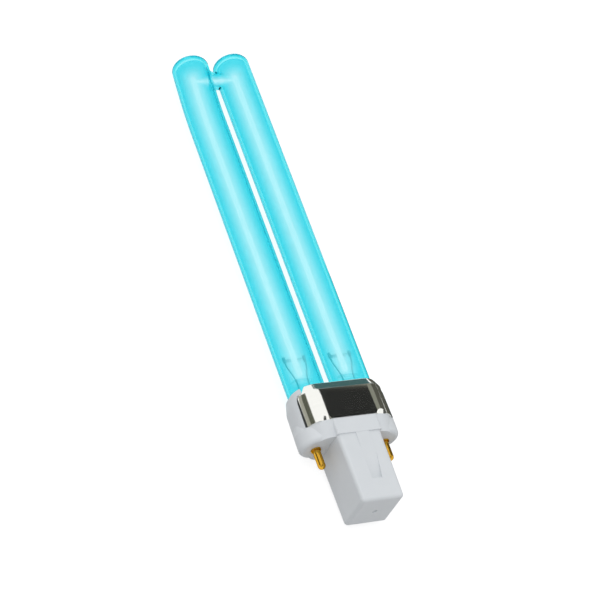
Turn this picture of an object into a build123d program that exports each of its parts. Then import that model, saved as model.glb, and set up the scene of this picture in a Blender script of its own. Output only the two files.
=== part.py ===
from build123d import *
from math import asin, cos, radians, sin, sqrt, tan
import os

# Two-legged compact germicidal lamp on a two-pin cap with a starter in its post.
# X runs across the two legs, Y along the lamp from the seat of the cap to the tube's tips,
# and Z out of the printed front of the cap. The origin is the middle of the seat.

# Glass tube. The left leg was bent in a little when the bridge was blown.
tube_length = 144.5
tube_diameter = 12.0
tube_wall = 1.0
leg_spacing = 15.5
leg_foot = 4.6
tip_height = 3.2
tip_flat_radius = 1.6
lean_drop = 25.5
lean_length = 12.0
lean_angle = 3.6
bridge_diameter = 6.0
bridge_wall = 0.9
bridge_drop = 8.1
bridge_blend_share = 0.45

# Electrodes and their stems
stem_neck_radius = 3.4
stem_wall = 0.8
stem_flare_height = 3.2
press_bottom = 17.5
press_top = 23.5
press_width = 6.6
press_thickness = 2.4
press_rounding = 0.9
exhaust_diameter = 2.0
exhaust_bore = 1.0
exhaust_rounding = 0.6
exhaust_tip = 2.8
exhaust_hole_height = 19.5
lead_diameter = 0.5
lead_spacing = 3.8
lead_turn = 0.8
lead_end_gap = 0.3
electrode_height = 31.0
electrode_spacing = 6.8
clamp_width = 0.8
clamp_height = 1.8
clamp_rounding = 0.16
hook_length = 1.2
filament_wire = 0.26
filament_diameter = 1.1
filament_pitch = 0.62
filament_turns = 8
bend_share = 0.45

# Moulded cap: collar, side walls, pin lobes and starter post
flange_height = 5.2
block_step = 0.25
block_margin = 0.15
block_edge = 0.6
lobe_radius = 6.0
lobe_inset = 1.1
lobe_step = 13.8
lobe_edge = 1.4
flange_draft = 16.0
end_wall = 0.75
face_wall = 1.2
face_space = 1.0
core_top = 15.3
side_wall_stand = 0.5
side_wall_knee = 14.0
side_wall_top = 18.0
side_wall_draft = 1.2
side_wall_lean = 15.0
side_wall_blend = 6.0
side_wall_rounding = 0.3
shoulder_draft = 17.0
shoulder_height = 3.6
floor_thickness = 1.6
leg_stop_width = 2.4
post_length = 22.5
post_width = 14.5
post_step = 0.5
post_draft = 0.6
post_edge = 1.3
post_end_edge = 1.2
post_wall = 1.3
post_side_wall = 1.35
post_bore_edge = 0.8
ramp_rise = 0.4
ramp_left = -1.4
ramp_right = 2.85
ramp_end_right = 2.0
ramp_knee = 9.0
ramp_end = 15.5
ramp_knee_depth = 0.3
ramp_end_depth = 1.5
gate_radius = 0.8

# Metal sleeve
sheet = 0.35
sleeve_corner = 7.2
bead_height = 15.6
sleeve_top = 18.2
shoulder_angle = 25.0
bead_rounding = 0.5
rim_rounding = 0.3
side_window = 9.7
shoulder_window = 12.4
window_reach = 2.7
window_corner = 0.9
crimp_offset = 9.4
crimp_radius = 3.5
crimp_depth = 0.9
crimp_drop = 0.9

# Cement
cement_bottom = 7.0
cement_top = 14.6
cement_inset = 1.0

# Contact pins
pin_spacing = 23.0
pin_diameter = 2.37
pin_length = 6.7
pin_bore = 1.3
pin_bore_end = 5.6
pin_ring_diameter = 3.1
pin_ring_height = 0.5
pin_head_diameter = 4.0
pin_head_height = 0.5

# Glow starter, capacitor and splices
starter_diameter = 5.4
starter_wall = 0.5
starter_rounding = 2.1
starter_shoulder = -4.6
starter_pinch_top = -1.6
pinch_width = 4.4
pinch_thickness = 1.5
pinch_rounding = 0.6
starter_lead_diameter = 0.4
starter_lead_spacing = 2.6
strip_width = 1.6
strip_thickness = 0.25
strip_rise = 4.1
strip_drop = 2.9
strip_overlap = 1.0
strip_tip_x = -0.5
electrode_rise = 6.6
capacitor_width = 8.4
capacitor_height = 9.0
capacitor_thickness = 3.2
capacitor_rounding = 1.1
capacitor_top = -5.0
capacitor_lead_spacing = 5.0
capacitor_lead_depth = 1.5
ferrule_diameter = 2.2
ferrule_wall = 0.3
ferrule_rounding = 0.4
ferrule_top = 0.4
ferrule_length = 3.2
ferrule_offset = 4.5
ferrule_axis_height = 0.4
splice_radius = 0.45
splice_rise = 1.5
splice_end = 1.0
loop_height = 2.6

# Clearances
wire_gap = 0.03
seat_gap = 0.05
leg_gap = 0.1
tube_hole_gap = 0.25
edge_gap = 0.35
edge_groove = 0.55
shoulder_gap = 0.6
starter_end_gap = 1.6
starter_side_gap = 0.4
starter_between_gap = 1.1
capacitor_side_gap = 0.7

# The legs, their bores and the left leg's lean
tube_radius = tube_diameter / 2
bore_radius = tube_radius - tube_wall
leg_x = leg_spacing / 2
bridge_y = tube_length - bridge_drop
lean_start = tube_length - lean_drop
lean_radius = lean_length / radians(lean_angle)
bridge_top = bridge_y + bridge_diameter / 2
lean_at_bridge = (bridge_top - lean_start - lean_length / 2) * tan(radians(lean_angle))
bridge_blend = bridge_blend_share * (leg_spacing - tube_diameter - lean_at_bridge)
stem_foot_radius = bore_radius - seat_gap

# The collar grows out from the legs: cavity, core, sleeve, then side walls
cavity_radius = tube_radius + leg_gap
cavity_width = leg_spacing + 2 * cavity_radius
cavity_thickness = tube_diameter + 2 * face_space
core_width = cavity_width + 2 * end_wall
core_thickness = cavity_thickness + 2 * face_wall
core_corner = sleeve_corner - sheet - seat_gap
sleeve_width = core_width + 2 * (sheet + seat_gap)
sleeve_thickness = core_thickness + 2 * (sheet + seat_gap)
sleeve_foot = flange_height + seat_gap
window_start = sleeve_width / 2 - window_reach
side_wall_width = sleeve_width + 2 * side_wall_stand
side_wall_span = side_window - 2 * edge_gap
cement_reach = tube_radius - cement_inset

# The post and its block, and what stands in the post
block_width = post_width + 2 * block_margin
block_thickness = core_thickness + 2 * block_step
post_thickness = block_thickness - 2 * post_step
post_bore_width = post_width - 2 * post_side_wall
post_bore_thickness = (
    starter_side_gap + starter_diameter + starter_between_gap + capacitor_thickness
    + capacitor_side_gap
)
ramp_start_height = post_thickness / 2 + ramp_rise
ramp_knee_height = post_thickness / 2 - ramp_knee_depth
ramp_end_height = post_thickness / 2 - ramp_end_depth
starter_axis_height = post_bore_thickness / 2 - starter_side_gap - starter_diameter / 2
capacitor_axis_height = capacitor_side_gap + (capacitor_thickness - post_bore_thickness) / 2
starter_bottom = starter_end_gap + post_wall - post_length
strip_bend_height = starter_bottom + strip_rise
strip_joint = starter_shoulder - strip_drop
electrode_end = starter_bottom + electrode_rise

# Pins and splices
pin_x = pin_spacing / 2
pin_hole = pin_ring_diameter / 2 + wire_gap
pin_entry = floor_thickness + pin_head_height
lobe_offset = pin_x - lobe_inset
ferrule_bore = ferrule_diameter / 2 - ferrule_wall
splice_foot = ferrule_top - ferrule_length + splice_end

# The crimps sit on the sleeve's rounded corners, at its lower edge
corner_x = sleeve_width / 2 - sleeve_corner
corner_z = sleeve_thickness / 2 - sleeve_corner
crimp_angle = asin((crimp_offset - corner_x) / sleeve_corner)
crimp_reach = sleeve_corner + crimp_radius - crimp_depth
crimp_x = corner_x + crimp_reach * sin(crimp_angle)
crimp_z = corner_z + crimp_reach * cos(crimp_angle)
crimp_y = sleeve_foot - crimp_drop
crimp_places = [(x * crimp_x, crimp_y, z * crimp_z) for x in (-1, 1) for z in (-1, 1)]

# A groove beside each side wall takes the sleeve's edge
groove_z = (side_window - edge_gap) / 2
groove_rise = groove_z - core_thickness / 2 + core_corner
groove_x = core_width / 2 - core_corner + sqrt(core_corner**2 - groove_rise**2) - edge_groove

os.makedirs("parts", exist_ok=True)


def section(y):
    """The plane across the lamp at height y. Its own x and y are the lamp's X and Z."""
    return Plane.XZ.offset(-y)


def lengthwise(x, z=0):
    """The plane along the lamp through x and z. Its own x and y are the lamp's X and Y."""
    return Plane(origin=(x, 0, z), x_dir=(1, 0, 0), z_dir=(0, 0, 1))


def along(x, z=0):
    """The line parallel to the lamp through x and z."""
    return Axis((x, 0, z), (0, 1, 0))


def edges_at(builder, y):
    """The edges of a part under construction that lie all round it at height y."""
    return builder.edges().filter_by_position(Axis.Y, y - seat_gap, y + seat_gap)


def finish(piece, name):
    """Label a finished piece and write it under its own name."""
    piece.label = name
    export_step(piece, f"parts/{name}.step")


def bend_radii(route):
    """The largest even bends that a wire's runs leave room for, one for each corner."""
    runs = [Vector(b) - Vector(a) for a, b in zip(route, route[1:])]
    radii = []
    for first, second in zip(runs, runs[1:]):
        half_turn = radians(first.get_angle(second)) / 2
        radii.append(bend_share * min(first.length, second.length) / tan(half_turn))
    return radii


def bent_wire(route, diameter):
    """A round wire along a route of straight runs joined by tangent bends."""
    with BuildPart() as wire:
        with BuildLine() as path:
            FilletPolyline(*route, radius=bend_radii(route))
        with BuildSketch(path.line ^ 0):
            Circle(diameter / 2)
        sweep(path=path.line)
    return wire.part


# Glass tube: two blown legs with flattened tips, joined by one short bridge
def leg_line(side, top):
    """A leg's middle line, from its foot up to where its tip starts to round."""
    if side > 0:
        Line((leg_x, leg_foot), (leg_x, top))
    else:
        upright = Line((-leg_x, leg_foot), (-leg_x, lean_start))
        bend = JernArc(upright @ 1, upright % 1, lean_radius, -lean_angle)
        Line(bend @ 1, bend @ 1 + (bend % 1) * (top - lean_start - lean_length))


def leg_form(side, radius, tip, height):
    """A leg's outer form, or its bore: a rod with an elliptical shoulder and a flat tip."""
    with BuildPart() as form:
        with BuildLine() as middle:
            leg_line(side, tip - height)
        with BuildSketch(section(leg_foot)):
            with Locations((side * leg_x, 0)):
                Circle(radius)
        sweep(path=middle.wire())
        end = middle.wire() @ 1
        heading = middle.wire() % 1
        with BuildSketch(Plane(origin=end, x_dir=(heading.Y, -heading.X, 0), z_dir=(0, 0, 1))):
            with BuildLine():
                rim = EllipticalCenterArc(
                    (tip_flat_radius, 0), radius - tip_flat_radius, height, arc_size=90
                )
                Polyline(rim @ 1, (0, height), (0, 0), rim @ 0)
            make_face()
        revolve(axis=Axis(end, heading))
    return form.part


with BuildPart() as glass_tube:
    for side in (-1, 1):
        add(leg_form(side, tube_radius, tube_length, tip_height))
    with BuildSketch(Plane.YZ.offset(-leg_x)):
        with Locations((bridge_y, 0)):
            Circle(bridge_diameter / 2)
    extrude(amount=leg_spacing)
    seams = glass_tube.edges().filter_by(
        lambda e: abs(e.center().X) < leg_x / 2 and abs(e.center().Y - bridge_y) < bridge_diameter / 2
        and e.geom_type != GeomType.LINE
    )
    fillet(seams, radius=bridge_blend)
    for side in (-1, 1):
        bore_tip = tube_length - tube_wall
        add(leg_form(side, bore_radius, bore_tip, tip_height - tube_wall / 2), mode=Mode.SUBTRACT)
    with BuildSketch(Plane.YZ.offset(-leg_x)):
        with Locations((bridge_y, 0)):
            Circle(bridge_diameter / 2 - bridge_wall)
    extrude(amount=leg_spacing, mode=Mode.SUBTRACT)
finish(glass_tube.part, "glass_tube")


# Stems: each a flared glass tube whose top is pressed flat round the two lead-in wires
def glass_stem(x):
    with BuildPart() as stem:
        with BuildSketch(lengthwise(x)):
            with BuildLine():
                neck = leg_foot + stem_flare_height
                outer = Spline(
                    (stem_foot_radius, leg_foot), (stem_neck_radius, neck),
                    tangents=[(-0.2, 1), (0, 1)],
                )
                Line(outer @ 1, (stem_neck_radius, press_bottom + stem_wall))
                Line((stem_neck_radius, press_bottom + stem_wall), (0, press_bottom + stem_wall))
                Line((0, press_bottom + stem_wall), (0, press_bottom))
                Line((0, press_bottom), (stem_neck_radius - stem_wall, press_bottom))
                Line((stem_neck_radius - stem_wall, press_bottom), (stem_neck_radius - stem_wall, neck))
                inner = Spline(
                    (stem_neck_radius - stem_wall, neck), (stem_foot_radius - stem_wall, leg_foot),
                    tangents=[(0, -1), (0.2, -1)],
                )
                Line(inner @ 1, outer @ 0)
            make_face()
        revolve(axis=along(x))
        with BuildSketch(section(press_bottom + stem_wall)):
            with Locations((x, 0)):
                Circle(stem_neck_radius)
        with BuildSketch(section(press_bottom + stem_flare_height)):
            with Locations((x, 0)):
                RectangleRounded(press_width, press_thickness, press_rounding)
        loft()
        with BuildSketch(section(press_bottom + stem_flare_height)):
            with Locations((x, 0)):
                RectangleRounded(press_width, press_thickness, press_rounding)
        extrude(amount=press_bottom + stem_flare_height - press_top)
        with BuildSketch(section(exhaust_tip)):
            with Locations((x, 0)):
                Circle(exhaust_diameter / 2)
        extrude(amount=exhaust_tip - press_bottom)
        fillet(stem.edges().sort_by(Axis.Y)[0], radius=exhaust_rounding)
        with BuildSketch(section(exhaust_tip + stem_wall)):
            with Locations((x, 0)):
                Circle(exhaust_bore / 2)
        extrude(amount=exhaust_tip + stem_wall - exhaust_hole_height, mode=Mode.SUBTRACT)
        with BuildSketch(lengthwise(x)):
            with Locations((0, exhaust_hole_height)):
                Circle(exhaust_bore / 2)
        extrude(amount=stem_neck_radius, mode=Mode.SUBTRACT)
        with BuildSketch(section(press_top)):
            for side in (-1, 1):
                with Locations((x + side * lead_spacing / 2, 0)):
                    Circle(lead_diameter / 2 + wire_gap)
        extrude(amount=press_top - press_bottom, mode=Mode.SUBTRACT)
    return stem.part


# Lead-in wires: from a clamp on the electrode down through the press to a pin or to a splice
def lead_wire(leg, outward, lower_route):
    inner_x = leg + outward * lead_spacing / 2
    hook_x = leg + outward * electrode_spacing / 2
    clamp_bottom = electrode_height - clamp_height / 2
    route = [
        (hook_x, electrode_height, 0),
        (hook_x, clamp_bottom - hook_length, 0),
        (inner_x, press_top + lead_turn, 0),
        (inner_x, leg_foot + stem_flare_height + lead_turn, 0),
    ] + lower_route
    with BuildPart() as lead:
        add(bent_wire(route, lead_diameter))
        with Locations((hook_x, electrode_height, 0)):
            Box(clamp_width, clamp_height, clamp_width)
        fillet(lead.edges().filter_by(Axis.Y).filter_by(GeomType.LINE), radius=clamp_rounding)
        with BuildSketch(Plane.YZ.offset(hook_x - clamp_width)):
            with Locations((electrode_height, 0)):
                Circle(filament_wire / 2 + wire_gap)
        extrude(amount=2 * clamp_width, mode=Mode.SUBTRACT)
    return lead.part


# Filaments: a coil between the two clamps, with a straight tail into each
def coiled_filament(leg):
    coil_length = filament_pitch * filament_turns
    coil_start = leg - coil_length / 2
    coil_radius = (filament_diameter - filament_wire) / 2
    tail = electrode_spacing / 2 + clamp_width / 2
    with BuildPart() as filament:
        with BuildLine() as coil:
            Helix(
                filament_pitch, coil_length, coil_radius,
                center=(coil_start, electrode_height, -coil_radius), direction=(1, 0, 0),
            )
        with BuildSketch(coil.line ^ 0):
            Circle(filament_wire / 2)
        sweep(path=coil.line, is_frenet=True)
        for end in (coil.line @ 0, coil.line @ 1):
            reach = leg - tail if end.X < leg else leg + tail
            with BuildLine(mode=Mode.PRIVATE) as lead_out:
                Line((reach, electrode_height, 0), (end.X, end.Y, end.Z))
            with BuildSketch(lead_out.line ^ 0):
                Circle(filament_wire / 2)
            sweep(path=lead_out.line)
    return filament.part


for name, side in (("left", -1), ("right", 1)):
    leg = side * leg_x
    finish(glass_stem(leg), f"{name}_stem")
    finish(coiled_filament(leg), f"{name}_filament")
    to_pin = [(side * pin_x, pin_entry + lead_turn, 0), (side * pin_x, lead_end_gap - pin_bore_end, 0)]
    outer_lead = lead_wire(leg, side, to_pin)
    finish(outer_lead, f"{name}_outer_lead")
    splice_x = side * (ferrule_offset + splice_radius)
    to_splice = [
        (splice_x, ferrule_top + splice_rise, ferrule_axis_height),
        (splice_x, splice_foot, ferrule_axis_height),
    ]
    inner_lead = lead_wire(leg, -side, to_splice)
    finish(inner_lead, f"{name}_inner_lead")


# Side walls of the cap: they stand past the sleeve, fill its windows and hug the legs
with BuildPart() as side_walls:
    with BuildSketch(section(flange_height)):
        RectangleRounded(side_wall_width, block_thickness, sleeve_corner)
    extrude(amount=side_wall_knee - flange_height, dir=(0, 1, 0), taper=side_wall_draft)
    extrude(
        side_walls.faces().sort_by(Axis.Y)[-1], amount=side_wall_top - side_wall_knee,
        taper=side_wall_lean,
    )
    fillet(edges_at(side_walls, side_wall_knee), radius=side_wall_blend)
    fillet(edges_at(side_walls, side_wall_top), radius=side_wall_rounding)
    with BuildSketch(section(flange_height)):
        with Locations((-lobe_offset, 0), (lobe_offset, 0)):
            Circle(lobe_radius)
        make_hull()
    extrude(amount=shoulder_height, dir=(0, 1, 0), taper=shoulder_draft)
    with BuildSketch(Plane.YZ):
        Rectangle(2 * side_wall_top, side_wall_span)
        with Locations((side_wall_top, 0)):
            Rectangle(
                2 * (side_wall_top - bead_height - edge_gap), shoulder_window - 2 * shoulder_gap
            )
    extrude(amount=side_wall_width, both=True, mode=Mode.INTERSECT)


# Ramp on each broad face of the post: proud at the seat, then a pocket with a square end
with BuildPart() as ramp_key:
    with BuildSketch(Plane.YZ.offset(ramp_left)):
        Polygon(
            (0, post_bore_thickness / 2), (0, ramp_start_height),
            (-ramp_knee, ramp_knee_height), (-ramp_knee, post_bore_thickness / 2),
            align=None,
        )
    extrude(amount=ramp_right - ramp_left)
    add(ramp_key.part, rotation=(0, 180, 0))

with BuildPart() as ramp_pocket:
    with BuildSketch(Plane.YZ.offset(ramp_left)):
        Polygon(
            (0, ramp_start_height), (-ramp_knee, ramp_knee_height), (-ramp_end, ramp_end_height),
            (-ramp_end, block_thickness), (0, block_thickness),
            align=None,
        )
    extrude(amount=ramp_right - ramp_left)
    with BuildSketch():
        Polygon(
            (ramp_left, 0), (ramp_left, -ramp_end), (ramp_end_right, -ramp_end),
            (ramp_right, -ramp_knee), (ramp_right, 0),
            align=None,
        )
    extrude(amount=block_thickness, mode=Mode.INTERSECT)
    add(ramp_pocket.part, rotation=(0, 180, 0))


# Moulded cap: lobed flange, collar core, side walls and the hollow starter post in one piece
with BuildPart() as base_housing:
    with BuildSketch(section(flange_height)):
        RectangleRounded(core_width, core_thickness, core_corner)
    extrude(amount=core_top - flange_height, dir=(0, 1, 0))
    with Locations(*crimp_places):
        Sphere(crimp_radius + sheet + seat_gap, mode=Mode.SUBTRACT)
    with BuildSketch(section(0)):
        with Locations((-lobe_offset, 0), (lobe_offset, 0)):
            Circle(lobe_radius)
        Rectangle(block_width, lobe_step)
        make_hull()
    extrude(amount=flange_height, dir=(0, 1, 0))
    fillet(
        base_housing.edges().group_by(Axis.Y)[0].filter_by(GeomType.CIRCLE), radius=lobe_edge
    )
    with BuildSketch(section(flange_height)):
        RectangleRounded(core_width, core_thickness, core_corner)
    extrude(amount=flange_height, dir=(0, -1, 0), taper=flange_draft)
    with BuildSketch(section(0)):
        RectangleRounded(block_width, block_thickness, block_edge)
    extrude(amount=flange_height, dir=(0, 1, 0))
    add(side_walls.part)

    # Cavity for the legs, with four stops that their feet stand on
    with BuildSketch(section(floor_thickness)):
        RectangleRounded(cavity_width, cavity_thickness, cavity_radius)
    extrude(amount=core_top - floor_thickness, dir=(0, 1, 0), mode=Mode.SUBTRACT)
    stop_height = leg_foot - seat_gap - floor_thickness
    with BuildSketch(section(floor_thickness)):
        for z in (-1, 1):
            with Locations((-leg_x, z * bore_radius), (leg_x, z * bore_radius)):
                Rectangle(leg_stop_width, cavity_thickness - 2 * bore_radius)
    extrude(amount=stop_height, dir=(0, 1, 0))

    # Above the core the side walls fit round the legs, and a groove beside them takes the sleeve
    with BuildSketch(section(core_top)):
        Rectangle(2 * (window_start + edge_gap), block_thickness)
        with Locations((-leg_x, 0), (leg_x, 0)):
            Circle(cavity_radius)
    extrude(amount=side_wall_top - core_top, dir=(0, 1, 0), mode=Mode.SUBTRACT)
    for side in (-1, 1):
        with BuildSketch(Plane.YZ.offset(side * groove_x)):
            with Locations((flange_height, -groove_z), (flange_height, groove_z)):
                Rectangle(2 * (core_top - flange_height), edge_gap)
            Rectangle(2 * flange_height, block_thickness, mode=Mode.SUBTRACT)
        extrude(amount=side_wall_width, dir=(side, 0, 0), mode=Mode.SUBTRACT)

    # Starter post with its keyed ramps, bored out for the starter
    with BuildSketch(section(0)):
        RectangleRounded(post_width, post_thickness, post_edge)
    extrude(amount=post_length, dir=(0, -1, 0), taper=post_draft)
    fillet(base_housing.edges().group_by(Axis.Y)[0], radius=post_end_edge)
    add(ramp_key.part)
    add(ramp_pocket.part, mode=Mode.SUBTRACT)
    with BuildSketch(section(floor_thickness)):
        RectangleRounded(post_bore_width, post_bore_thickness, post_bore_edge)
    extrude(
        amount=floor_thickness + post_length - post_wall, dir=(0, -1, 0), taper=post_draft,
        mode=Mode.SUBTRACT,
    )
    with Locations((0, -post_length, 0)):
        Sphere(gate_radius, mode=Mode.SUBTRACT)

    # Holes for the pins
    with BuildSketch(section(floor_thickness)):
        with Locations((-pin_x, 0), (pin_x, 0)):
            Circle(pin_hole)
    extrude(amount=2 * floor_thickness, dir=(0, -1, 0), mode=Mode.SUBTRACT)
finish(base_housing.part, "base_housing")


# Metal sleeve: one pressing with two faces, a sloping shoulder and holes for the legs
def sleeve_form(inset):
    """The sleeve's outer form, or with an inset of one sheet the space inside it."""
    with BuildPart() as form:
        with BuildSketch(section(sleeve_foot)):
            RectangleRounded(
                sleeve_width - 2 * inset, sleeve_thickness - 2 * inset, sleeve_corner - inset
            )
        extrude(amount=bead_height - sleeve_foot, dir=(0, 1, 0))
        with BuildSketch(section(bead_height)):
            RectangleRounded(
                sleeve_width - 2 * inset, sleeve_thickness - 2 * inset, sleeve_corner - inset
            )
        extrude(amount=sleeve_top - inset - bead_height, dir=(0, 1, 0), taper=shoulder_angle)
        fillet(edges_at(form, sleeve_top - inset), radius=rim_rounding + sheet - inset)
        fillet(edges_at(form, bead_height), radius=bead_rounding + sheet - inset)
        with Locations(*crimp_places):
            Sphere(crimp_radius + inset, mode=Mode.SUBTRACT)
    return form.part


with BuildPart() as metal_sleeve:
    add(sleeve_form(0))
    add(sleeve_form(sheet), mode=Mode.SUBTRACT)
    with BuildSketch(section(sleeve_top)):
        with Locations((-leg_x, 0), (leg_x, 0)):
            Circle(tube_radius + tube_hole_gap)
    extrude(amount=sleeve_top - bead_height, dir=(0, -1, 0), mode=Mode.SUBTRACT)
    with BuildSketch(Plane.YZ) as window:
        with Locations((sleeve_foot, 0)):
            Rectangle(2 * (bead_height - sleeve_foot), side_window)
        with Locations((sleeve_top, 0)):
            Rectangle(2 * (sleeve_top - bead_height), shoulder_window)
        fillet(window.vertices().group_by(Axis.X)[-2].sort_by(Axis.Y)[1:-1], radius=window_corner)
    for side in (-1, 1):
        add(window.sketch.moved(Location((side * window_start, 0, 0))))
        extrude(amount=sleeve_width, dir=(side, 0, 0), mode=Mode.SUBTRACT)
finish(metal_sleeve.part, "metal_sleeve")


# Cement between the legs and the cap
with BuildPart() as tube_cement:
    with BuildSketch(section(cement_bottom)):
        RectangleRounded(
            leg_spacing + 2 * cement_reach, cavity_thickness - 2 * seat_gap, cement_reach
        )
        with Locations((-leg_x, 0), (leg_x, 0)):
            Circle(tube_radius + seat_gap, mode=Mode.SUBTRACT)
    extrude(amount=cement_top - cement_bottom, dir=(0, 1, 0))
finish(tube_cement.part, "tube_cement")


# Contact pins: hollow, round-nosed, with a ring at the root and a head inside the cap
def contact_pin(x):
    pin_radius = pin_diameter / 2
    nose = pin_radius - pin_length
    with BuildPart() as pin:
        with BuildSketch(lengthwise(x)):
            with BuildLine():
                shank = Polyline(
                    (0, -pin_bore_end), (pin_bore / 2, -pin_bore_end), (pin_bore / 2, pin_entry),
                    (pin_head_diameter / 2, pin_entry), (pin_head_diameter / 2, floor_thickness),
                    (pin_ring_diameter / 2, floor_thickness), (pin_ring_diameter / 2, -pin_ring_height),
                    (pin_radius, -pin_ring_height), (pin_radius, nose),
                )
                RadiusArc(shank @ 1, (0, -pin_length), pin_radius)
                Line((0, -pin_length), (0, -pin_bore_end))
            make_face()
        revolve(axis=along(x))
    return pin.part


finish(contact_pin(-pin_x), "left_contact_pin")
finish(contact_pin(pin_x), "right_contact_pin")


# Glow starter: a sealed glass bulb with its pinch towards the legs
def starter_blank(inset):
    """The bulb's outer form, or with an inset of one wall the space inside it."""
    with BuildPart() as blank:
        with BuildSketch(section(starter_shoulder - inset)):
            with Locations((0, starter_axis_height)):
                Circle(starter_diameter / 2 - inset)
        extrude(amount=starter_shoulder - starter_bottom - 2 * inset, dir=(0, -1, 0))
        fillet(blank.edges(), radius=starter_rounding - inset)
    return blank.part


def starter_leads(diameter):
    with BuildSketch(section(starter_pinch_top)) as holes:
        for side in (-1, 1):
            with Locations((side * starter_lead_spacing / 2, starter_axis_height)):
                Circle(diameter / 2)
    return holes.sketch


with BuildPart() as starter_bulb:
    add(starter_blank(0))
    with BuildSketch(section(starter_pinch_top)):
        with Locations((0, starter_axis_height)):
            RectangleRounded(pinch_width, pinch_thickness, pinch_rounding)
    extrude(amount=starter_pinch_top - starter_shoulder + pinch_thickness, dir=(0, -1, 0))
    add(starter_blank(starter_wall), mode=Mode.SUBTRACT)
    add(starter_leads(starter_lead_diameter + 2 * wire_gap))
    extrude(amount=starter_pinch_top - starter_shoulder + starter_diameter / 2, dir=(0, -1, 0),
            mode=Mode.SUBTRACT)
finish(starter_bulb.part, "starter_bulb")


def splice_route(side, start, start_x, start_z, slot_z):
    """A wire's run from the starter or the capacitor over into the ferrule on its side."""
    splice = side * (ferrule_offset - splice_radius / 2)
    slot = ferrule_axis_height + slot_z
    return [
        (side * start_x, start, start_z),
        (side * start_x, loop_height, start_z),
        (splice, loop_height, slot),
        (splice, splice_foot, slot),
    ]


lead_x = starter_lead_spacing / 2
slot_z = splice_radius * cos(radians(30))
with BuildPart() as starter_electrode:
    add(bent_wire(splice_route(-1, electrode_end, lead_x, starter_axis_height, slot_z),
                  starter_lead_diameter))
finish(starter_electrode.part, "starter_electrode")

with BuildPart() as starter_bimetal:
    add(bent_wire(splice_route(1, strip_joint, lead_x, starter_axis_height, slot_z),
                  starter_lead_diameter))
    with BuildSketch(Plane.XY.offset(starter_axis_height - strip_width / 2)):
        with BuildLine():
            FilletPolyline(
                (lead_x, strip_joint + strip_overlap), (lead_x, strip_bend_height),
                (strip_tip_x, strip_bend_height), (strip_tip_x, electrode_end + strip_overlap),
                radius=(lead_x - strip_tip_x) * bend_share,
            )
        trace(line_width=strip_thickness)
    extrude(amount=strip_width)
finish(starter_bimetal.part, "starter_bimetal")


# Suppression capacitor: a dipped block with two leads
with BuildPart() as capacitor:
    with Locations((0, capacitor_top - capacitor_height / 2, capacitor_axis_height)):
        Box(capacitor_width, capacitor_height, capacitor_thickness)
    fillet(capacitor.edges(), radius=capacitor_rounding)
    with BuildSketch(section(capacitor_top)):
        for side in (-1, 1):
            with Locations((side * capacitor_lead_spacing / 2, capacitor_axis_height)):
                Circle(starter_lead_diameter / 2 + wire_gap)
    extrude(amount=capacitor_lead_depth, dir=(0, -1, 0), mode=Mode.SUBTRACT)
finish(capacitor.part, "capacitor")

for name, side in (("left", -1), ("right", 1)):
    lead_foot = capacitor_top - capacitor_lead_depth + seat_gap
    capacitor_route = splice_route(
        side, lead_foot, capacitor_lead_spacing / 2, capacitor_axis_height, -slot_z
    )
    finish(bent_wire(capacitor_route, starter_lead_diameter), f"{name}_capacitor_lead")


# Splice ferrules: closed crimp caps, each over three wires
def splice_ferrule(x):
    with BuildPart() as ferrule:
        with BuildSketch(section(ferrule_top)):
            with Locations((x, ferrule_axis_height)):
                Circle(ferrule_diameter / 2)
        extrude(amount=ferrule_length, dir=(0, -1, 0))
        fillet(ferrule.edges().group_by(Axis.Y)[0], radius=ferrule_rounding)
        with BuildSketch(section(ferrule_top)):
            with Locations((x, ferrule_axis_height)):
                Circle(ferrule_bore)
        extrude(amount=ferrule_length - ferrule_wall, dir=(0, -1, 0), mode=Mode.SUBTRACT)
    return ferrule.part


finish(splice_ferrule(-ferrule_offset), "left_splice_ferrule")
finish(splice_ferrule(ferrule_offset), "right_splice_ferrule")
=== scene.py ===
from math import atan2, radians, tan

import bmesh
import bpy
from mathutils import Matrix, Vector


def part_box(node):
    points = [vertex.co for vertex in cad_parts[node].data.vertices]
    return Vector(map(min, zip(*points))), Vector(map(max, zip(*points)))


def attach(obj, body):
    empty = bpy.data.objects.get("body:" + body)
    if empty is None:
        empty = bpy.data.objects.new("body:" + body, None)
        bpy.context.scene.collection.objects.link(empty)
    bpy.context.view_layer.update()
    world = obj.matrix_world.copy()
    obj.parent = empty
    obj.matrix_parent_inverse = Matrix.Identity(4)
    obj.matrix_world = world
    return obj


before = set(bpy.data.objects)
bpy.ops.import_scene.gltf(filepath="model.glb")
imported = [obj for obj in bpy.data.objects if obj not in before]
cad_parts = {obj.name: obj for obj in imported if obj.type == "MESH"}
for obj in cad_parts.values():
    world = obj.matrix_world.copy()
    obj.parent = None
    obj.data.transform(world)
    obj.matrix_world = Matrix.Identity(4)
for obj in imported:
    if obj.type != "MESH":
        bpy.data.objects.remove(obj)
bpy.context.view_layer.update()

mm = 0.001


# Camera: it looks down on the lamp from the left of its cap, and is rolled so that the legs
# lean up to the left of the picture.
camera_place = Vector((-344.07, -295.26, 579.12)) * mm
camera_aim = Vector((1.47, 51.65, 0.0)) * mm
camera_roll = radians(31.97)

lens = bpy.data.cameras.new("camera")
lens.sensor_width = 36.0
lens.lens = 148.51
lens.clip_start = 0.01
camera = bpy.data.objects.new("camera", lens)
facing = (camera_aim - camera_place).to_track_quat("-Z", "Y").to_matrix().to_4x4()
roll = Matrix.Rotation(camera_roll, 4, "Z")
camera.matrix_world = Matrix.Translation(camera_place) @ facing @ roll
bpy.context.scene.collection.objects.link(camera)
bpy.context.scene.camera = camera
bpy.context.scene.view_settings.view_transform = "Standard"


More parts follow.
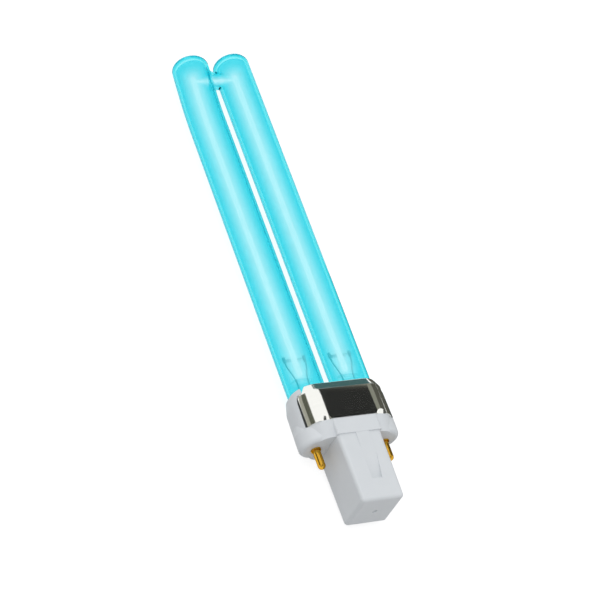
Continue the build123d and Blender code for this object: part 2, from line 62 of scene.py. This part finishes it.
# Studio room: even and pale all round. It shows as plain white behind the lamp, in its metal
# and through its glass, and lights it softly at about two thirds of that.
class Wire:
    """One value in a node tree. A sum written with it adds the Math nodes that it needs."""

    def __init__(self, tree, socket=None):
        self.tree = tree
        self.socket = socket

    def node(self, kind, settings=None, inputs=None, output=0):
        made = self.tree.nodes.new(kind)
        for name, value in (settings or {}).items():
            setattr(made, name, value)
        for name, value in (inputs or {}).items():
            socket = made.inputs[name]
            if isinstance(value, Wire):
                self.tree.links.new(value.socket, socket)
            else:
                socket.default_value = (*value, 1.0) if socket.type == "RGBA" else value
        return Wire(self.tree, made.outputs[output] if made.outputs else None)

    def output(self, name):
        return Wire(self.tree, self.socket.node.outputs[name])

    def maths(self, operation, first, second=0.0):
        return self.node("ShaderNodeMath", {"operation": operation}, {0: first, 1: second})

    def mixed(self, amount, first, second):
        """The first colour turning into the second as the amount goes from 0 to 1."""
        colours = {"Factor": amount, 6: first, 7: second}
        return self.node("ShaderNodeMix", {"data_type": "RGBA"}, colours, 2)

    def __add__(self, other):
        return self.maths("ADD", self, other)

    def __sub__(self, other):
        return self.maths("SUBTRACT", self, other)

    def __rsub__(self, other):
        return self.maths("SUBTRACT", other, self)

    def __mul__(self, other):
        return self.maths("MULTIPLY", self, other)

    __radd__ = __add__
    __rmul__ = __mul__


def seen_directly(wire):
    """1 for a ray from the camera, off metal or through glass, and 0 for soft light."""
    rays = wire.node("ShaderNodeLightPath")
    looking = rays.output("Is Camera Ray") + rays.output("Is Glossy Ray")
    looking = looking + rays.output("Is Transmission Ray")
    return looking.maths("MINIMUM", looking, 1.0)


room_light = 0.70
soft_white = (0.96, 0.98, 1.0)
pure_white = (1.0, 1.0, 1.0)

room = bpy.data.worlds.new("studio_room")
room.use_nodes = True
room.node_tree.nodes.clear()
wire = Wire(room.node_tree)
strength = seen_directly(wire) * (1.0 - room_light) + room_light
shade = wire.mixed(seen_directly(wire), soft_white, pure_white)
backdrop = wire.node("ShaderNodeBackground", None, {"Color": shade, "Strength": strength})
wire.node("ShaderNodeOutputWorld", None, {"Surface": backdrop})
bpy.context.scene.world = room


# Floor: a wide white sheet that the lamp lies on. The cap is thicker than the legs, so the
# lamp rests on the back of its sleeve and on its tips, and the sheet slopes to meet both.
floor_size = 4.0
floor_colour = (0.36, 0.36, 0.36)
floor_glow = 0.82
bead_drop = 2.6 * mm
tip_shoulder = 3.2 * mm

sleeve_low, sleeve_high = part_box("metal_sleeve")
glass_low, glass_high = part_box("glass_tube")
tube_radius = (glass_high.z - glass_low.z) / 2
bead_y = sleeve_high.y - bead_drop
tip_y = glass_high.y - tip_shoulder
floor_slope = atan2(glass_low.z - sleeve_low.z, tip_y - bead_y)


def blank_material(name):
    """A new material with an empty node tree, and the wire that builds in it."""
    material = bpy.data.materials.new(name)
    material.use_nodes = True
    material.node_tree.nodes.clear()
    return material, Wire(material.node_tree)


def piece_of(shape, name, material):
    """Turn a bmesh into an object at the origin with one material."""
    mesh = bpy.data.meshes.new(name)
    shape.to_mesh(mesh)
    shape.free()
    mesh.materials.append(material)
    piece = bpy.data.objects.new(name, mesh)
    bpy.context.scene.collection.objects.link(piece)
    return piece


white_sheet, wire = blank_material("white_sheet")
matt = wire.node("ShaderNodeBsdfDiffuse", None, {"Color": floor_colour})
bright = seen_directly(wire) * floor_glow
lit = wire.node("ShaderNodeEmission", None, {"Color": pure_white, "Strength": bright})
both = wire.node("ShaderNodeAddShader", None, {0: matt, 1: lit})
wire.node("ShaderNodeOutputMaterial", None, {"Surface": both})

sheet = bmesh.new()
bmesh.ops.create_grid(sheet, x_segments=1, y_segments=1, size=floor_size / 2)
bmesh.ops.rotate(sheet, matrix=Matrix.Rotation(floor_slope, 3, "X"), verts=sheet.verts)
bmesh.ops.translate(sheet, vec=(0, bead_y, sleeve_low.z), verts=sheet.verts)
piece_of(sheet, "floor", white_sheet)


# Lights: one large soft box up to the left of the cap and a weaker one over the tips. They
# leave the front of the cap brightest, its left side a little darker and its end darkest.
def soft_box(name, place, aim, size, power):
    lamp = bpy.data.lights.new(name, "AREA")
    lamp.shape = "SQUARE"
    lamp.size = size
    lamp.energy = power
    box = bpy.data.objects.new(name, lamp)
    facing = (aim - place).to_track_quat("-Z", "Y").to_matrix().to_4x4()
    box.matrix_world = Matrix.Translation(place) @ facing
    box.visible_glossy = False
    bpy.context.scene.collection.objects.link(box)


cap_middle = Vector((0, 5.0, 0)) * mm
soft_box("key_light", Vector((-0.35, 0.15, 0.85)), cap_middle, 0.7, 1.8)
soft_box("tip_light", Vector((0.3, 0.7, 0.6)), Vector((0, 0.1, 0)), 0.5, 0.5)


# Flags: cards that ring the lamp's long axis and one on the floor, which show in shiny metal
# and gloss alone and give them contrast. Each is where one face of the sleeve mirrors it.
ring_radius = 0.6
ring_foot = 0.08
ring_top = 0.50
floor_flag_lift = 0.6 * mm
sleeve_front = Vector((0, (sleeve_low.y + sleeve_high.y) / 2, sleeve_high.z))


def card(name, corners, colour):
    """A flat card between four corners, seen by nothing but glossy surfaces."""
    material, wire = blank_material(name)
    dull = wire.node("ShaderNodeEmission", None, {"Color": colour, "Strength": 1.0})
    wire.node("ShaderNodeOutputMaterial", None, {"Surface": dull})
    sheet = bmesh.new()
    sheet.faces.new([sheet.verts.new(corner) for corner in corners])
    piece = piece_of(sheet, name, material)
    piece.visible_camera = False
    piece.visible_diffuse = False
    piece.visible_transmission = False
    piece.visible_shadow = False


def flag(name, start, end, colour, foot=ring_foot, top=ring_top):
    """A card between two bearings round the lamp's axis, in degrees from its front."""
    corners = []
    for bearing, height in ((start, foot), (end, foot), (end, top), (start, top)):
        across = Matrix.Rotation(radians(bearing), 3, "Y") @ Vector((0, 0, ring_radius))
        corners.append(sleeve_front + across + Vector((0, height, 0)))
    card(name, corners, colour)


flag("left_edge_flag", -98, -74, (0.36, 0.36, 0.31))
flag("left_flag", -74, -50, (0.10, 0.105, 0.08))
flag("front_flag", 22, 36, (0.018, 0.019, 0.019))
flag("front_top_flag", 22, 38, (0.07, 0.14, 0.14), ring_top, 1.8)
flag("right_flag", 36, 58, (0.24, 0.245, 0.205))
flag("right_edge_flag", 58, 100, (0.09, 0.09, 0.075))
flag("shoulder_flag", 40, 100, (0.06, 0.13, 0.135), ring_top, 1.8)
flag("overhead_flag", -6, 24, (0.10, 0.105, 0.10), -0.6, 0.05)
flag("overhead_side_flag", -62, -36, (0.22, 0.225, 0.20), -0.6, 0.05)
flag("shoulder_side_flag", 100, 160, (0.06, 0.10, 0.10), 0.4, 1.8)
floor_flag_corners = []
for x, y in ((15, -8), (400, 189), (400, 311), (15, 60)):
    rise = (y * mm - bead_y) * tan(floor_slope)
    height = sleeve_low.z + rise + floor_flag_lift
    floor_flag_corners.append(Vector((x * mm, y * mm, height)))
card("floor_flag", floor_flag_corners, (0.09, 0.09, 0.075))


# Glass legs: blown quartz of even thickness, clear but coloured all through by the light
# inside it, with the faint lengthwise lines of drawn tube. It stays as the CAD made it.
# Lower than real glass, which draws dark lines round the tips and the bridge here.
glass_ior = 1.10
leg_tint = (0.96, 0.99, 1.0)
leg_stain = (0.04, 0.865, 0.904)
stain_density = 520.0


def glass_finish(name, tint, roughness, unevenness, stain=None):
    """Drawn glass whose gloss varies in lengthwise lines. A stain colours its whole wall."""
    material, wire = blank_material(name)
    place = wire.node("ShaderNodeTexCoord", None, None, "Object")
    drawn = wire.node("ShaderNodeMapping", None, {"Vector": place, "Scale": (900.0, 12.0, 900.0)})
    lines = wire.node("ShaderNodeTexNoise", None, {"Vector": drawn, "Scale": 1.0, "Detail": 2.0})
    glass = wire.node("ShaderNodeBsdfPrincipled", None, {
        "Base Color": tint, "Roughness": lines * unevenness + roughness,
        "IOR": glass_ior, "Transmission Weight": 1.0,
    })
    ends = {"Surface": glass}
    if stain:
        coloured = {"Color": stain, "Density": stain_density}
        ends["Volume"] = wire.node("ShaderNodeVolumeAbsorption", None, coloured)
    wire.node("ShaderNodeOutputMaterial", None, ends)
    return material


def dress(node, material):
    """Give a CAD node its finish."""
    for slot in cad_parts[node].material_slots:
        slot.material = material


dress("glass_tube", glass_finish("lit_quartz", leg_tint, 0.06, 0.08, leg_stain))


# Discharge: the lit gas that fills both legs and the bridge, brightest along the middle of each
# leg and blue-green at the wall. A solid core lies in four ever wider, thinner veils, and a
# denser blue-green skin lies along the wall.
glass_wall = 1.0 * mm
bore_radius = tube_radius - glass_wall
bore_tip = glass_high.y - 1.2 * mm
bore_tip_height = 2.7 * mm
leg_x = glass_high.x - tube_radius
bridge_y = glass_high.y - 8.2 * mm
bridge_bore_radius = 2.1 * mm

lean_start = glass_high.y - 25.6 * mm
lean_length = 12.0 * mm
lean_angle = radians(3.6)
lean_cuts = 6

gas_colour = (1.9, 1.33, 1.25)
skin_colour = (0.08, 0.76, 0.88)


def lean(y):
    """How far the left leg's middle line has leant toward the right leg at a height."""
    bent = min(max(y - lean_start, 0.0), lean_length)
    straight = max(y - lean_start - lean_length, 0.0)
    return bent**2 * lean_angle / lean_length / 2 + straight * lean_angle


def gas_rod(radius, start, end, end_height):
    """A mesh of a round-ended rod from one point to another. Its far end may be flatter."""
    rod = bmesh.new()
    bmesh.ops.create_uvsphere(rod, u_segments=48, v_segments=24, radius=radius)
    just_above_middle = radius * 0.01
    upper = [vert for vert in rod.verts if vert.co.z > just_above_middle]
    bmesh.ops.scale(rod, vec=(1, 1, end_height / radius), verts=upper)
    bmesh.ops.translate(rod, vec=(0, 0, (end - start).length - end_height - radius), verts=upper)
    bmesh.ops.translate(rod, vec=(0, 0, radius), verts=rod.verts)
    turn = (end - start).to_track_quat("Z", "Y").to_matrix()
    bmesh.ops.rotate(rod, matrix=turn, verts=rod.verts)
    bmesh.ops.translate(rod, vec=start, verts=rod.verts)
    for face in rod.faces:
        face.smooth = True
    return rod


def gas_leg(side, radius, foot, tip, tip_height):
    """The light in one leg. The left one leans as its glass does."""
    leg_foot = Vector((side * leg_x, foot, 0))
    leg_tip = Vector((side * leg_x, tip, 0))
    leg = gas_rod(radius, leg_foot, leg_tip, tip_height)
    if side < 0:
        for step in range(lean_cuts + 1):
            cut = (0, lean_start + lean_length * step / lean_cuts, 0)
            whole = leg.verts[:] + leg.edges[:] + leg.faces[:]
            bmesh.ops.bisect_plane(leg, geom=whole, plane_co=cut, plane_no=(0, 1, 0))
        for vert in leg.verts:
            vert.co.x += lean(vert.co.y)
    return leg


def gas_body(name, radius, bridge_radius, foot, tip_gap, finish):
    """The light in both legs and across the bridge, joined into one closed skin."""
    tip_height = min(radius, bore_tip_height)
    tip = bore_tip - tip_gap
    body = piece_of(gas_leg(-1, radius, foot, tip, tip_height), name, finish)
    left_end = Vector((lean(bridge_y) - leg_x, bridge_y, 0))
    right_end = Vector((leg_x, bridge_y, 0))
    for shape in (
        gas_leg(1, radius, foot, tip, tip_height),
        gas_rod(bridge_radius, left_end, right_end, bridge_radius),
    ):
        rod = piece_of(shape, "rod", finish)
        union = body.modifiers.new("join", "BOOLEAN")
        union.operation = "UNION"
        union.object = rod
        depsgraph = bpy.context.evaluated_depsgraph_get()
        merged = bpy.data.meshes.new_from_object(body.evaluated_get(depsgraph))
        body.modifiers.clear()
        body.data = merged
        bpy.data.objects.remove(rod)
    body.data.name = name
    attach(body, "root")


def gas_finish(name, colour, cover):
    """Light alone, with no surface of its own. Its cover is how much it hides what is behind."""
    material, wire = blank_material(name)
    shine = wire.node("ShaderNodeBsdfPrincipled", None, {
        "Base Color": (0.0, 0.0, 0.0), "Specular IOR Level": 0.0, "Roughness": 1.0,
        "Emission Color": colour, "Emission Strength": 1.0, "Alpha": cover,
    })
    wire.node("ShaderNodeOutputMaterial", None, {"Surface": shine})
    return material


# For each layer: its name, its share of the bore's radius, the height of its foot and its gap
# to the bore's tip in millimetres, its colour and its cover.
for name, reach, foot, tip_gap, colour, cover in (
    ("core", 0.18, 25.0, 5.2, gas_colour, 1.0),
    ("inner", 0.34, 24.2, 4.4, gas_colour, 0.21),
    ("middle", 0.50, 23.4, 3.6, gas_colour, 0.14),
    ("outer", 0.66, 22.6, 2.8, gas_colour, 0.09),
    ("veil", 0.82, 21.8, 2.0, gas_colour, 0.045),
    ("skin", 0.98, 14.0, 0.15, skin_colour, 0.6),
):
    finish = gas_finish(f"{name}_light", colour, cover)
    radii = (bore_radius * reach, bridge_bore_radius * reach)
    gas_body(f"discharge_{name}", *radii, foot * mm, tip_gap * mm, finish)

# A ray enters and leaves each of the six layers, which is more than the usual limit of 8.
bpy.context.scene.cycles.transparent_max_bounces = 16


# Stems: clear glass tubes that close the foot of each leg. Each is flared at its foot, and
# pressed flat round its two wires to seal them in.
clear_glass = glass_finish("clear_glass", (0.95, 0.98, 0.98), 0.03, 0.04)
dress("left_stem", clear_glass)
dress("right_stem", clear_glass)


# Wires and electrodes: drawn nickel-iron lead-in wires, and coils of dull tungsten between
# their clamps, darkened by use.
def wire_finish(name, colour, roughness):
    material, wire = blank_material(name)
    place = wire.node("ShaderNodeTexCoord", None, None, "Object")
    stain = wire.node("ShaderNodeTexNoise", None, {"Vector": place, "Scale": 900.0, "Detail": 3.0})
    darkened = tuple(0.5 * part for part in colour)
    shade = wire.mixed(stain, colour, darkened)
    metal = wire.node("ShaderNodeBsdfPrincipled", None, {
        "Base Color": shade, "Metallic": 1.0, "Roughness": stain * 0.2 + roughness,
    })
    wire.node("ShaderNodeOutputMaterial", None, {"Surface": metal})
    return material


lead_metal = wire_finish("lead_metal", (0.30, 0.32, 0.32), 0.3)
tungsten = wire_finish("tungsten", (0.16, 0.18, 0.19), 0.4)
for side in ("left", "right"):
    dress(f"{side}_outer_lead", lead_metal)
    dress(f"{side}_inner_lead", lead_metal)
    dress(f"{side}_capacitor_lead", lead_metal)
    dress(f"{side}_filament", tungsten)


# Cement: pale gritty filler, packed round the feet of both legs and set hard. It holds them
# in the cap.
cement, wire = blank_material("cement")
place = wire.node("ShaderNodeTexCoord", None, None, "Object")
grit = wire.node("ShaderNodeTexNoise", None, {"Vector": place, "Scale": 1400.0, "Detail": 6.0})
shade = wire.mixed(grit, (0.62, 0.58, 0.50), (0.80, 0.77, 0.70))
relief = wire.node("ShaderNodeBump", None, {"Strength": 0.6, "Distance": 0.1 * mm, "Height": grit})
filler = wire.node("ShaderNodeBsdfPrincipled", None, {
    "Base Color": shade, "Roughness": 0.9, "Normal": relief,
})
wire.node("ShaderNodeOutputMaterial", None, {"Surface": filler})
dress("tube_cement", cement)


# Cap: white moulded plastic with a satin skin, faintly mottled and very slightly cool. The
# narrow grooves between its side walls and the sleeve are painted dark, as painted shade.
wall_half_depth = 4.47 * mm
groove_floor_x = 12.9 * mm
# Near-black colour of the painted shade in the grooves.
groove_shade_colour = (0.05, 0.055, 0.053)

plastic, wire = blank_material("white_plastic")
place = wire.node("ShaderNodeTexCoord", None, None, "Object")
cloud = wire.node("ShaderNodeTexNoise", None, {"Vector": place, "Scale": 120.0, "Detail": 3.0})
grain = wire.node("ShaderNodeTexNoise", None, {"Vector": place, "Scale": 2600.0, "Detail": 2.0})
shade = wire.mixed(cloud, (0.74, 0.765, 0.785), (0.80, 0.82, 0.835))
relief = wire.node("ShaderNodeBump", None, {
    "Strength": 0.25, "Distance": 0.02 * mm, "Height": grain,
})
# Painted shade: a mask of the grooves, found by position, where the plastic is coloured near
# black.
spot = wire.node("ShaderNodeSeparateXYZ", None, {"Vector": place})
height = spot.output("Y")
from_middle = wire.maths("ABSOLUTE", spot.output("X"))
from_centre_plane = wire.maths("ABSOLUTE", spot.output("Z"))
groove = wire.maths("GREATER_THAN", from_centre_plane, wall_half_depth)
groove = groove * wire.maths("GREATER_THAN", from_middle, groove_floor_x)
groove = groove * wire.maths("GREATER_THAN", height, sleeve_low.y)
groove = groove * wire.maths("LESS_THAN", height, bead_y)
groove_shaded = wire.mixed(groove, shade, groove_shade_colour)
moulding = wire.node("ShaderNodeBsdfPrincipled", None, {
    "Base Color": groove_shaded, "Roughness": cloud * 0.12 + 0.36, "Normal": relief,
})
wire.node("ShaderNodeOutputMaterial", None, {"Surface": moulding})
dress("base_housing", plastic)


# Sleeve: thin bright sheet, pressed round the collar and nicked into it at four places. It
# has the fine lines that rolling leaves along the sheet, is not quite flat, and turns in
# slightly towards its bead. The depths are in millimetres.
roll_height = 2.6 * mm
roll_start = bead_y - roll_height
roll_in = 0.17
dent_depth = 0.018
line_depth = 0.001

sleeve_metal, wire = blank_material("sleeve_metal")
place = wire.node("ShaderNodeTexCoord", None, None, "Object")
rolled = wire.node("ShaderNodeMapping", None, {"Vector": place, "Scale": (60.0, 5000.0, 60.0)})
lines = wire.node("ShaderNodeTexNoise", None, {"Vector": rolled, "Scale": 1.0, "Detail": 3.0})
dents = wire.node("ShaderNodeTexNoise", None, {"Vector": place, "Scale": 160.0, "Detail": 1.0})
shade = wire.mixed(lines, (0.90, 0.90, 0.85), (0.96, 0.96, 0.92))
height = wire.node("ShaderNodeSeparateXYZ", None, {"Vector": place}, "Y")
rolled_in = wire.maths("MAXIMUM", wire.maths("MINIMUM", height, bead_y) - roll_start, 0.0)
roll_depth = wire.maths("POWER", rolled_in * (1.0 / (bead_y - roll_start)), 2.0) * roll_in
relief = wire.node("ShaderNodeBump", None, {
    "Strength": 1.0, "Distance": 1.0 * mm,
    "Height": dents * dent_depth + lines * line_depth - roll_depth,
})
pressed = wire.node("ShaderNodeBsdfPrincipled", None, {
    "Base Color": shade, "Metallic": 1.0, "Roughness": lines * 0.05 + 0.08, "Normal": relief,
})
wire.node("ShaderNodeOutputMaterial", None, {"Surface": pressed})
dress("metal_sleeve", sleeve_metal)


# Contact pins: turned brass, hollow, round-nosed and brightly polished. They stand in the
# cap's lobes, and each takes the outer wire of its leg.
pin_metal, wire = blank_material("pin_metal")
place = wire.node("ShaderNodeTexCoord", None, None, "Object")
turned = wire.node("ShaderNodeMapping", None, {"Vector": place, "Scale": (50.0, 6000.0, 50.0)})
rings = wire.node("ShaderNodeTexNoise", None, {"Vector": turned, "Scale": 1.0, "Detail": 2.0})
shade = wire.mixed(rings, (0.58, 0.30, 0.03), (0.78, 0.47, 0.06))
relief = wire.node("ShaderNodeBump", None, {
    "Strength": 0.1, "Distance": 0.02 * mm, "Height": rings,
})
brass = wire.node("ShaderNodeBsdfPrincipled", None, {
    "Base Color": shade, "Metallic": 1.0, "Roughness": rings * 0.1 + 0.12, "Normal": relief,
    "Specular Tint": (0.35, 0.20, 0.03),
})
wire.node("ShaderNodeOutputMaterial", None, {"Surface": brass})
dress("left_contact_pin", pin_metal)
dress("right_contact_pin", pin_metal)


# Starter and its capacitor: out of sight in the post, a clear bulb with a bimetal strip and a
# dipped block, all spliced to the lamp's wires with tinned ferrules.
dress("starter_bulb", clear_glass)
strip_metal = wire_finish("strip_metal", (0.62, 0.60, 0.56), 0.25)
dress("starter_bimetal", strip_metal)
dress("starter_electrode", strip_metal)
tinned = wire_finish("tinned_metal", (0.70, 0.70, 0.69), 0.3)
dress("left_splice_ferrule", tinned)
dress("right_splice_ferrule", tinned)

coating, wire = blank_material("dipped_coating")
place = wire.node("ShaderNodeTexCoord", None, None, "Object")
runs = wire.node("ShaderNodeTexNoise", None, {"Vector": place, "Scale": 400.0, "Detail": 2.0})
shade = wire.mixed(runs, (0.42, 0.13, 0.05), (0.55, 0.20, 0.08))
relief = wire.node("ShaderNodeBump", None, {"Strength": 0.3, "Distance": 0.1 * mm, "Height": runs})
dipped = wire.node("ShaderNodeBsdfPrincipled", None, {
    "Base Color": shade, "Roughness": 0.3, "Coat Weight": 0.5, "Normal": relief,
})
wire.node("ShaderNodeOutputMaterial", None, {"Surface": dipped})
dress("capacitor", coating)
